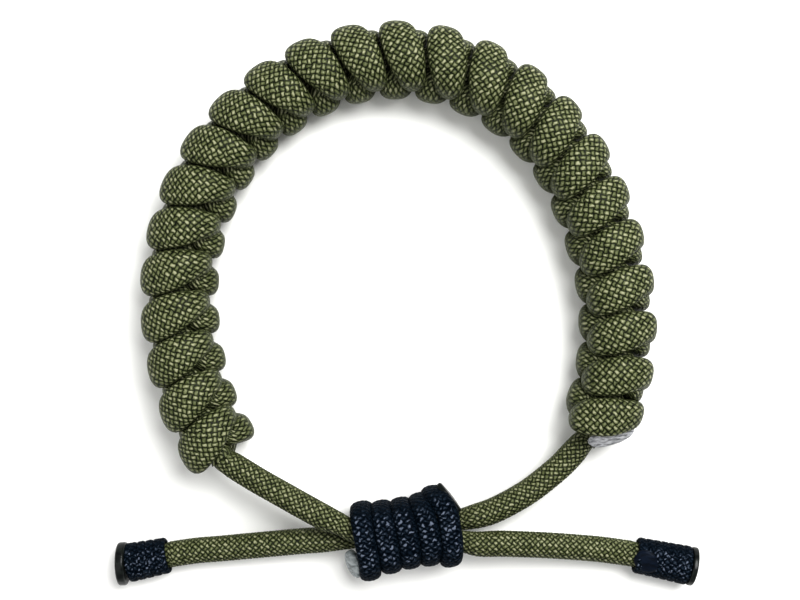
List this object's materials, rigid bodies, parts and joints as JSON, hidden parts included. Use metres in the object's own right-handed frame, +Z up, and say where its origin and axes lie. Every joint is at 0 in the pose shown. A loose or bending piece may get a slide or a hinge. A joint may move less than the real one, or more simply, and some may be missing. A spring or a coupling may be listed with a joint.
{
  "type": "paracord bracelet",
  "caption": "Wrist bracelet of olive parachute cord in snake knots, closed by a sliding knot of black cord on its long tails.",
  "frame": {"origin": "on the surface that the bracelet lies on, under the middle of the knotted band and its sliding knot", "axes": "+Z up, across the flat of the loop; +Y from the sliding knot to the far side of the loop; +X towards the right tail's free end"},
  "size_m": [0.0849, 0.0811, 0.012],
  "materials": {
    "olive_cord": "braided nylon sheath",
    "black_cord": "braided nylon sheath",
    "melted_grey": "melted nylon",
    "melted_black": "melted nylon"
  },
  "bodies": {
    "root": {"knotted_band": "olive_cord", "band_stub": "melted_grey", "left_tail": "olive_cord", "right_tail": "olive_cord", "sliding_knot": "black_cord", "slider_left_end": "melted_grey", "slider_right_end": "melted_black", "left_whipping": "black_cord", "right_whipping": "black_cord", "left_cap": "melted_black", "right_cap": "melted_black"}
  },
  "joints": []
}
